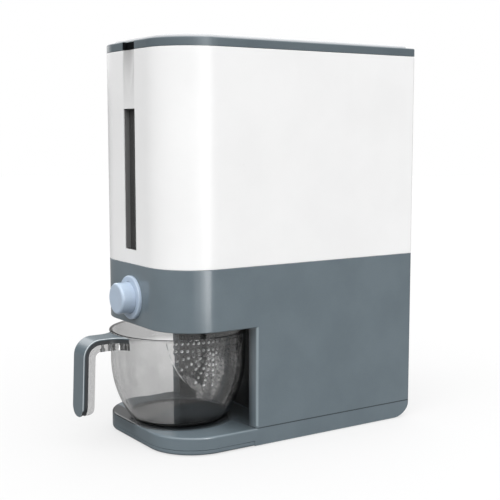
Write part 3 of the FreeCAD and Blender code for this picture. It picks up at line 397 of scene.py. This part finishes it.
# The base is the same grey, with zones of painted shade and a painted highlight. Its zones are given in
# metres, as edges or as where they fade.
baseGrey = dict(
    # painted shade tones for the bay, its pocket and the tray, and a painted highlight tone for the post
    slateGrey, bayWallPaintedShade="363b3f", pocketPaintedShade="24282b", postPaintedHighlight="8b979d",
    trayTop=0.0178, trayBand=0.0006, bayCeiling=0.1165,
    cupAxis=-0.0669, underCup=(0.060, 0.049),          # under the cup, by distance from its axis
    trayRear=(-0.078, -0.008), trayRearLevel=0.72,     # the tray towards the bay's rear
    bayDepth=(-0.06, -0.035), baySides=(0.079, 0.066), bayEnd=0.012, pocketStart=-0.0281,
    noseFront=-0.1, noseHeights=(0.003, 0.014), noseLeft=(-0.079, -0.06), noseRight=(0.012, -0.004),
    noseTurn=(0.1, 0.5), noseLevel=0.37,               # weaker where the nose faces forwards
    postFront=-0.04, postFoot=0.0198, postTurn=0.25,
)


# Painted shade: darker zones inside the bay, on the tray round the cup and on its nose.
# Painted highlight: a lighter zone on the rounded edge of the bay's post.
def bayShadeAndHighlight(tree, look, colour):
    place, facing = splitCoordinate(tree, "Object"), splitCoordinate(tree, "Normal")
    x, y, z = place["X"], place["Y"], place["Z"]
    trayTop, trayOver = look["trayTop"] - look["trayBand"], look["trayTop"] + look["trayBand"]
    behindAxis = addNode(tree, "Math", {"operation": "SUBTRACT"}, {0: y, 1: look["cupAxis"]})
    fromAxis = addNode(tree, "CombineXYZ", None, {"X": x, "Y": behindAxis.outputs["Value"]})
    fromCup = addNode(tree, "VectorMath", {"operation": "LENGTH"}, {
        0: fromAxis.outputs["Vector"]}).outputs["Value"]
    trayShade = joinZones(tree, zone(tree, (fromCup, "eased", *look["underCup"])),
                          zone(tree, (y, "eased", *look["trayRear"], 0.0, look["trayRearLevel"])))
    tray = zone(tree, (z, "above", trayTop), (z, "below", trayOver), trayShade)
    nose = zone(tree, (y, "below", look["noseFront"]), (z, "below", trayOver),
                (facing["Z"], "eased", *look["noseTurn"], look["noseLevel"], 1.0),
                (x, "eased", *look["noseRight"]), (x, "eased", *look["noseLeft"]),
                (z, "eased", *look["noseHeights"]))
    post = zone(tree, (facing["X"], "above", look["postTurn"]), (facing["Y"], "below", -look["postTurn"]),
                (y, "above", look["postFront"]), (z, "above", look["postFoot"]),
                (z, "below", look["bayCeiling"]))
    wall = zone(tree, (z, "above", trayOver), (z, "below", look["bayCeiling"]),
                (y, "eased", *look["bayDepth"]), (y, "below", look["bayEnd"]),
                (eitherSide(tree, x), "eased", *look["baySides"]))
    pocket = zone(tree, wall, (y, "above", look["pocketStart"]))
    return layTones(tree, colour, (wall, look["bayWallPaintedShade"]), (post, look["postPaintedHighlight"]),
                    (joinZones(tree, pocket, tray, nose), look["pocketPaintedShade"]))


# The lid's band is moulded in a slightly darker batch of the same grey.
bandGrey = dict(slateGrey, darkTone="5d686e", lightTone="616c72", roughness=0.3, specular=0.3)
# The strap is moulded in the same grey, with painted shade on its rib and a painted highlight along its
# plate's rounded edge.
strapGrey = dict(slateGrey, darkTone="5e6a71", lightTone="626e75", roughness=0.24, grainStrength=0.12,
                 # a painted shade tone for the rib and a painted highlight tone for the plate's edge
                 ribPaintedShade="34373a", edgePaintedHighlight="bac1c5", ribHalfWidth=0.0109, armUnder=0.1041, armStart=-0.156,
                 sideTurn=0.5, edgeTurn=0.3, edgeOut=0.2)


# Painted shade: a dark rib under the strap's plate. Painted highlight: a light line along the plate's rounded
# edge.
def strapShadeAndHighlight(tree, look, colour):
    place, facing = splitCoordinate(tree, "Object"), splitCoordinate(tree, "Normal")
    sideways = eitherSide(tree, facing["X"])
    side = (sideways, "above", look["sideTurn"])
    rounded = (sideways, "above", look["edgeTurn"])
    topEdge = zone(tree, rounded, (facing["Z"], "above", look["edgeOut"]))
    frontEdge = zone(tree, rounded, (facing["Y"], "below", -look["edgeOut"]),
                     (place["Y"], "below", look["armStart"]))
    ribMiddle = zone(tree, side, (eitherSide(tree, place["X"]), "below", look["ribHalfWidth"]))
    armUnder = zone(tree, side, (place["Z"], "below", look["armUnder"]),
                    (place["Y"], "above", look["armStart"]))
    return layTones(tree, colour, (topEdge, look["edgePaintedHighlight"]), (frontEdge, look["edgePaintedHighlight"]),
                    (ribMiddle, look["ribPaintedShade"]), (armUnder, look["ribPaintedShade"]))


# ABS, pale blue, moulded with a satin face.
paleBlue = {
    "darkTone": "b0bfd1", "lightTone": "b5c5d7", "driftWidth": 20.0,
    "grainWidth": 0.6, "speck": 0.01, "roughness": 0.2, "roughDrift": 0.02,
    "grainStrength": 0.05, "waveStrength": 0.02, "ior": 1.53,
}
# Nitrile rubber, compression moulded: near black, dull.
nitrile = {
    "darkTone": "090b0e", "lightTone": "0d1013", "driftWidth": 12.0,
    "grainWidth": 0.7, "speck": 0.08, "roughness": 0.7, "roughDrift": 0.06,
    "grainStrength": 0.3, "waveStrength": 0.1, "ior": 1.52, "specular": 0.06,
}
# Silicone, compression moulded: milky pale grey.
silicone = dict(nitrile, darkTone="b8bbbc", lightTone="c4c6c7", speck=0.02, roughness=0.55,
                ior=1.41, specular=0.5)
# Polypropylene, injection moulded: milky white and a little waxy.
waxyWhite = {
    "darkTone": "dfdfdc", "lightTone": "e6e6e3", "driftWidth": 30.0,
    "grainWidth": 0.9, "speck": 0.01, "roughness": 0.45, "roughDrift": 0.05,
    "grainStrength": 0.08, "waveStrength": 0.05, "ior": 1.49,
}
# Acetal, injection moulded and slippery: pale grey.
acetal = dict(waxyWhite, darkTone="bcbfc2", lightTone="c3c6c9", roughness=0.35, ior=1.48)

whiteAbs = mouldedPlastic("whiteAbsMouldedSatin", whiteShell, scoopShade)
plateAbs = mouldedPlastic("whiteAbsPolishedMould", whitePlate)
greyAbs = mouldedPlastic("slateAbsMouldedGrain", slateGrey)
baseAbs = mouldedPlastic("slateAbsMouldedBase", baseGrey, bayShadeAndHighlight)
bandAbs = mouldedPlastic("slateAbsMouldedBand", bandGrey)
strapAbs = mouldedPlastic("slateAbsMouldedGrip", strapGrey, strapShadeAndHighlight)
blueAbs = mouldedPlastic("paleBlueAbsMoulded", paleBlue)
darkRubber = mouldedPlastic("nitrileRubberMoulded", nitrile)
sealRubber = mouldedPlastic("siliconeRubberMoulded", silicone)
innerWhite = mouldedPlastic("polypropyleneMoulded", waxyWhite)
gateGrey = mouldedPlastic("acetalMoulded", acetal)

dress(whiteAbs, "reservoir_shell")
dress(plateAbs, "lid_panel")
dress(baseAbs, "base_housing")
dress(greyAbs, "bottom_cover")
dress(bandAbs, "lid_frame")
dress(strapAbs, "handle_strap")
dress(blueAbs, "button_cap", "button_bezel")
# The lid grip is rubber, and its near-black tone in the lid's notch also stands for the notch's shade: partly
# painted shade.
dress(darkRubber, "window_gasket", "lid_grip", "feet")
dress(sealRubber, "lid_seal")
dress(innerWhite, "hopper", "gate_guide")
dress(gateGrey, "gate_slide", "button_stem", "bezel_nut")
print("rice dispenser: moulded parts dressed")


# Carbon steel, zinc plated: pale grey with a faint drawn grain along the wire or the turned head.
zincSteel = {
    "lightTone": "c9ccce", "darkTone": "b4b8bb", "roughness": 0.3, "roughDrift": 0.07,
    "grainWidth": 0.5,  # the drawn lines are 0.02 mm apart, drawn coarser so that they show
    "grainDetail": 3.0, "grainStretch": (1.0, 0.15, 1.0), "toneStops": (0.35, 0.65),
    "noiseReach": (0.3, 0.7), "bumpStrength": 0.1, "bumpHeight": 0.0001,
}


def platedSteel(name, look):
    material, tree = newMaterial(name)
    place = addNode(tree, "TexCoord").outputs["Object"]
    stretch = addNode(tree, "Mapping", None, {"Vector": place, "Scale": look["grainStretch"]})
    lines = addNode(tree, "TexNoise", None, {
        "Vector": stretch.outputs["Vector"], "Scale": perMetre(look["grainWidth"]),
        "Detail": look["grainDetail"]})
    tone = driftingTone(tree, lines.outputs["Fac"], look["toneStops"],
                        (look["darkTone"], look["lightTone"]))
    low, high = look["noiseReach"]
    rough = addNode(tree, "MapRange", None, {
        "Value": lines.outputs["Fac"], "From Min": low, "From Max": high,
        "To Min": look["roughness"] - look["roughDrift"],
        "To Max": look["roughness"] + look["roughDrift"]})
    bump = addNode(tree, "Bump", None, {
        "Strength": look["bumpStrength"], "Distance": look["bumpHeight"], "Height": lines.outputs["Fac"]})
    shader = addNode(tree, "BsdfPrincipled", None, {
        "Base Color": tone, "Metallic": 1.0, "Roughness": rough.outputs["Result"],
        "Normal": bump.outputs["Normal"]})
    addNode(tree, "OutputMaterial", None, {"Surface": shader.outputs["BSDF"]})
    return material


steel = platedSteel("steelZincPlated", zincSteel)
dress(steel, "hinge_pins", "cover_screws", "gate_screws", "stem_clip", "stem_screw", "handle_screws")

# Round steel wire, wound cold and plated like the screws.
returnCoil = {
    "turns": 6.5,
    "deadTurns": 0.75,       # closed turns at each end
    "wireRadius": 0.0007,
    "steps": 28,             # points on a turn
    "wireSides": 5,
    "pressed": 0.65,         # its length with the button pressed, beside its free length
}


def buildCoil(look):
    low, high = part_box("return_spring")
    centre = (low + high) / 2
    radius = (high.x - low.x) / 2 - look["wireRadius"]
    lapped = 2 * look["wireRadius"] * look["deadTurns"]  # length of the closed turns at one end
    curve = bpy.data.curves.new("returnCoil", "CURVE")
    curve.dimensions = "3D"
    curve.bevel_depth = look["wireRadius"]
    curve.bevel_resolution = look["wireSides"]
    curve.use_fill_caps = True
    spline = curve.splines.new("POLY")
    count = int(look["turns"] * look["steps"]) + 1
    spline.points.add(count - 1)
    start = low.y + look["wireRadius"]
    span = high.y - low.y - 2 * look["wireRadius"]
    dead = look["deadTurns"] / look["turns"]
    for i in range(count):
        share = i / (count - 1)
        along = min(max((share - dead) / (1 - 2 * dead), 0.0), 1.0)
        travel = lapped + (span - 2 * lapped) * along
        travel += lapped * (min(share / dead, 1.0) - 1.0) + lapped * max((share - 1 + dead) / dead, 0.0)
        angle = 2 * math.pi * look["turns"] * share
        spline.points[i].co = (centre.x + radius * math.cos(angle), start + travel,
                               centre.z + radius * math.sin(angle), 1.0)
    holder = bpy.data.objects.new("returnCoilCurve", curve)
    scene.collection.objects.link(holder)
    bpy.context.view_layer.update()
    mesh = bpy.data.meshes.new_from_object(holder)
    bpy.data.objects.remove(holder)
    for face in mesh.polygons:
        face.use_smooth = True
    coil = bpy.data.objects.new("returnCoil", mesh)
    scene.collection.objects.link(coil)
    mesh.materials.clear()
    mesh.materials.append(steel)
    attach(coil, "body")
    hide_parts("return_spring")
    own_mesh(coil)


buildCoil(returnCoil)
print("rice dispenser: steel parts ready")


# SAN copolymer, injection moulded from a polished cavity: clear with a faint smoky cast.
clearSan = {
    "lightTint": "fcfcfc", "darkTint": "f4f4f4", "clear": 0.992, "roughness": 0.02, "ior": 1.57,
    "absorbTone": "000000", "density": 106.0,  # a 2.2 mm wall passes about four fifths
    "flowWidth": 25.0, "flowStrength": 0.02, "flowHeight": 0.0005, "flowStops": (0.3, 0.7),
    # painted shade on the cup's left wall below the rim
    "rimPaintedShade": "cecece", "rimHeights": (0.080, 0.086), "rimSide": (-0.034, -0.048),
}
# The handle's core is the same plastic, moulded thicker and less tinted.
handleSan = dict(clearSan, clear=0.97, density=24.0, jointTone="101112",
                 jointReach=(-0.1322, -0.1306))
# Polystyrene tinted smoky grey, polished: dark with a clear reflection.
smokedStyrene = {
    "lightTint": "5a5a5a", "darkTint": "545454", "clear": 0.5, "roughness": 0.05, "ior": 1.59,
    "flowWidth": 30.0, "flowStrength": 0.02, "flowHeight": 0.0005, "flowStops": (0.3, 0.7),
    # painted light on the recess's side walls
    "sidePaintedLight": "9c9c9c", "sideTurn": 0.5,
}


# Painted light: the side walls of the window's recess are drawn lighter than its pane.
def windowSideLight(tree, look, tint):
    sideways = eitherSide(tree, splitCoordinate(tree, "Normal")["X"])
    return layTones(tree, tint, (zone(tree, (sideways, "above", look["sideTurn"])), look["sidePaintedLight"]))


# Painted shade: the cup's left wall is drawn greyer just below the rim.
def rimShade(tree, look, tint):
    place = splitCoordinate(tree, "Object")
    leftRim = zone(tree, (place["Z"], "eased", *look["rimHeights"]), (place["X"], "eased", *look["rimSide"]))
    return layTones(tree, tint, (leftRim, look["rimPaintedShade"]))


# The core is dark at the end that meets the cup.
def jointShade(tree, look, tint):
    place = splitCoordinate(tree, "Object")
    return layTones(tree, tint, (zone(tree, (place["Y"], "eased", *look["jointReach"])), look["jointTone"]))


def clearPlastic(name, look, shade):
    material, tree = newMaterial(name)
    place = addNode(tree, "TexCoord").outputs["Object"]
    flow = addNode(tree, "TexNoise", None, {
        "Vector": place, "Scale": perMetre(look["flowWidth"]), "Detail": 1.0})
    tint = driftingTone(tree, flow.outputs["Fac"], look["flowStops"],
                        (look["darkTint"], look["lightTint"]))
    bump = addNode(tree, "Bump", None, {
        "Strength": look["flowStrength"], "Distance": look["flowHeight"], "Height": flow.outputs["Fac"]})
    shader = addNode(tree, "BsdfPrincipled", None, {
        "Base Color": shade(tree, look, tint), "Roughness": look["roughness"],
        "IOR": look["ior"], "Transmission Weight": look["clear"], "Normal": bump.outputs["Normal"]})
    output = addNode(tree, "OutputMaterial", None, {"Surface": shader.outputs["BSDF"]})
    if "density" in look:
        absorb = addNode(tree, "VolumeAbsorption", None, {
            "Color": toLinear(look["absorbTone"]), "Density": look["density"]})
        tree.links.new(absorb.outputs["Volume"], output.inputs["Volume"])
    return material


cupClear = clearPlastic("sanMouldedPolished", clearSan, rimShade)
handleClear = clearPlastic("sanMouldedThick", handleSan, jointShade)
windowSmoke = clearPlastic("styreneSmokedPolished", smokedStyrene, windowSideLight)
dress(cupClear, "measuring_cup")
dress(handleClear, "handle_core")
dress(windowSmoke, "view_window")
print("rice dispenser: clear parts dressed")


# SAN, pale and scattering on lips round the holes, on their bores and on the ridges: painted glints at the
# holes and the field's edge.
paintedGlintSan = {
    "darkTone": "646666", "lightTone": "e0e2e2", "driftWidth": 9.0,
    # painted shade: the lips turn darker towards the rear
    "rearPaintedShade": "2c2e2f", "rearShadeReach": (-0.0670, -0.0530),  # the lips fade towards the rear
    "grainWidth": 0.5, "speck": 0.05, "roughness": 0.5, "roughDrift": 0.08,
    "grainStrength": 0.2, "waveStrength": 0.05, "ior": 1.57,
}
# The holes are drilled in the solid cup: these lengths, in metres, find them again.
strainer = {
    "drop": 0.0105,          # rim to the middle hole
    "firstRing": 0.005, "pitch": 0.0049, "rings": 7, "step": 15.0, "firstStride": 3,
    "rimDrop": 0.0034, "rimHoles": 15,
    "mouth": 0.00104, "boreRadius": 0.00096,
    "lip": ((0.00114, 0.00012), (0.00126, 0.00002)),  # radius and rise
    "lipSides": 12,
    "bareAlong": 0.004, "bareBelow": 0.020,  # the lower rear holes have no lips
    "castFrom": 0.2,         # a point well outside the cup
}
# Two fine moulded ridges that bound the field of holes, on an oval round the rim's middle; their pale tone is
# a painted highlight.
ridge = {
    "centreRise": 0.0156, "reach": 0.04345, "depth": 0.06975, "turns": (15.8, 54.0), "steps": 40,
    "halfWidth": 0.00028, "rise": 0.00012, "footRise": 0.00002,
    "startWidth": 0.3, "widenBy": 1.5, "fade": 4, "leastWidth": 0.04,  # beside the full width
}


def holePlaces(look):
    places = [(0.0, 0.0)]
    for index in range(look["rings"]):
        radius = look["firstRing"] + look["pitch"] * index
        stride = max(look["firstStride"] - index, 1)
        for line in range(int(180 / look["step"] / stride) + 1):
            angle = math.radians(look["step"] * stride * line)
            places.append((radius * math.cos(angle), -radius * math.sin(angle)))
    for index in range(look["rimHoles"]):
        offset = (index - (look["rimHoles"] - 1) / 2) * look["pitch"]
        places.append((offset, look["drop"] - look["rimDrop"]))
    return places


# Painted shade: the lips and ridges are drawn darker towards the cup's rear.
def lipRearShade(tree, look, colour):
    place = splitCoordinate(tree, "Object")
    return layTones(tree, colour, (zone(tree, (place["Y"], "eased", *look["rearShadeReach"])), look["rearPaintedShade"]))


# Drops a point along X onto the cup's outer or inner face, and lifts it by a rise.
def onWall(wall, y, z, rise, inner=False):
    start, way = (Vector((0.0, y, z)), Vector((1, 0, 0))) if inner else (
        Vector((strainer["castFrom"], y, z)), Vector((-1, 0, 0)))
    spot, normal, _, _ = wall.ray_cast(start, way)
    if spot is None or spot.x < 0:
        return None
    return spot + normal * rise


# A ring of points round a hole, at one radius.
def wallRing(wall, sides, y, z, radius, rise, inner=False):
    turns = [2 * math.pi * side / sides for side in range(sides)]
    return [onWall(wall, y + radius * math.cos(turn), z + radius * math.sin(turn), rise, inner)
            for turn in turns]


# The lining of one hole and the lip round its mouth, as rings from the inside out.
def addLip(wall, look, y, z, points, faces):
    sides, mouth = look["lipSides"], look["mouth"]
    bore = wallRing(wall, sides, y, z, mouth, 0.0, inner=True) + wallRing(wall, sides, y, z, mouth, 0.0)
    if None in bore:
        return
    squeeze = look["boreRadius"] / mouth
    rings = [Vector((spot.x, y + (spot.y - y) * squeeze, z + (spot.z - z) * squeeze)) for spot in bore]
    for radius, rise in look["lip"]:
        rings.extend(wallRing(wall, sides, y, z, radius, rise))
    if None in rings:
        return
    first = len(points)
    points.extend(rings)
    for loop in range(len(rings) // sides - 1):
        for side in range(sides):
            a = first + loop * sides + side
            b = first + loop * sides + (side + 1) % sides
            faces.append((a, b, b + sides, a + sides))


# One ridge, three points wide, tapered to both ends.
def addRidge(wall, look, middleY, rimZ, sign, points, faces):
    start, end = look["turns"]
    crossings = []
    for step in range(look["steps"] + 1):
        share = step / look["steps"]
        angle = math.radians(start + (end - start) * share)
        grown = math.sin(math.pi * min(share * look["widenBy"], 0.5))
        width = look["startWidth"] + (1 - look["startWidth"]) * grown
        taper = width * (1 - share ** look["fade"]) + look["leastWidth"]
        crossing = []
        for across, rise in ((-1, look["footRise"]), (0, look["rise"]), (1, look["footRise"])):
            grow = across * look["halfWidth"] * taper
            y = middleY + sign * (look["reach"] + grow) * math.cos(angle)
            z = rimZ + look["centreRise"] - (look["depth"] + grow) * math.sin(angle)
            crossing.append(onWall(wall, y, z, rise))
        if None not in crossing:
            crossings.append(crossing)
    first = len(points)
    for crossing in crossings:
        points.extend(crossing)
    for step in range(len(crossings) - 1):
        for side in range(2):
            a = first + step * 3 + side
            faces.append((a, a + 1, a + 4, a + 3))


def buildLips(look, ridgeLook):
    cup = nodes["measuring_cup"].data
    wall = BVHTree.FromPolygons([v.co for v in cup.vertices], [p.vertices for p in cup.polygons])
    low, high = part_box("measuring_cup")
    middleY = (low.y + high.y) / 2
    points, faces = [], []
    for along, rise in holePlaces(look):
        if along <= look["bareAlong"] or rise >= -look["bareBelow"]:
            addLip(wall, look, middleY + along, high.z - look["drop"] + rise, points, faces)
    for sign in (-1, 1):
        addRidge(wall, ridgeLook, middleY, high.z, sign, points, faces)
    mesh = bpy.data.meshes.new("strainerLips")
    mesh.from_pydata(points, [], faces)
    for face in mesh.polygons:
        face.use_smooth = True
    lips = bpy.data.objects.new("strainerLips", mesh)
    scene.collection.objects.link(lips)
    # the lips and ridges carry painted glints
    mesh.materials.append(mouldedPlastic("sanLipsPaintedGlint", paintedGlintSan, lipRearShade))
    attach(lips, "cup")


buildLips(strainer, ridge)
print("rice dispenser: strainer ready")
